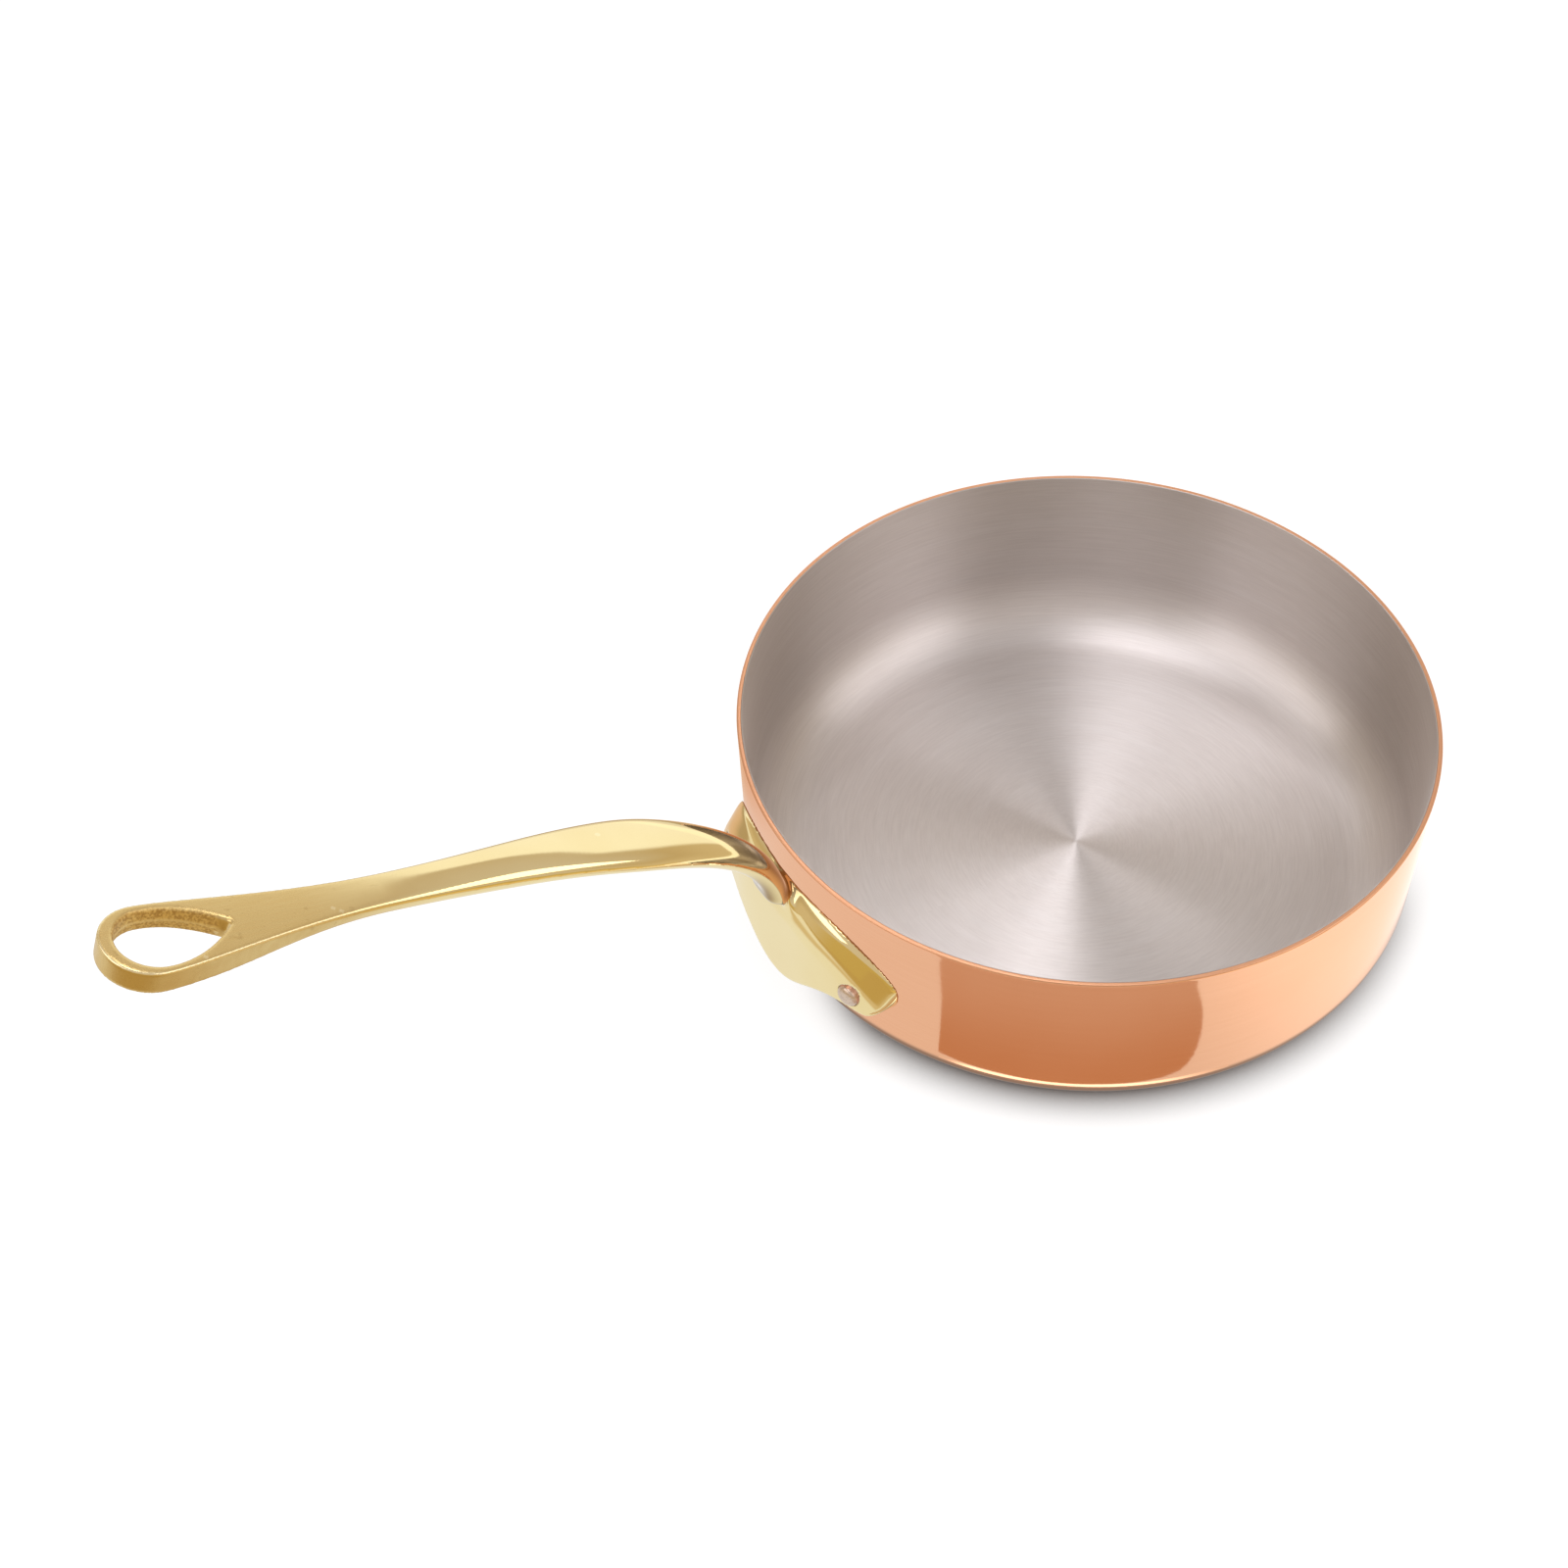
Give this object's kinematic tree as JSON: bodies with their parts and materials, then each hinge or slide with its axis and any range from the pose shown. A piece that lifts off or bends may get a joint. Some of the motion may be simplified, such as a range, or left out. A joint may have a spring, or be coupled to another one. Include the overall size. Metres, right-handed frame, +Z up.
{
  "type": "saute pan",
  "caption": "Shallow round copper pan lined with brushed steel, with a curved brass handle riveted to its wall and a teardrop hanging hole at the handle's end.",
  "frame": {"origin": "centre of the flat underside, where the pan's axis meets the surface it stands on", "axes": "+Z up along the pan's axis, the handle runs out along -X and up, Y is across the handle"},
  "size_m": [0.3936, 0.2, 0.1353],
  "materials": {
    "copper": "mirror-polished copper",
    "lining": "circular brushed stainless steel",
    "handle_brass": "polished cast brass, satin at the ring end",
    "rivet_steel": "plain warm grey steel"
  },
  "bodies": {
    "root": {"copper_shell": "copper", "steel_lining": "lining", "handle": "handle_brass", "rivet_near": "rivet_steel", "rivet_far": "rivet_steel"}
  },
  "joints": []
}
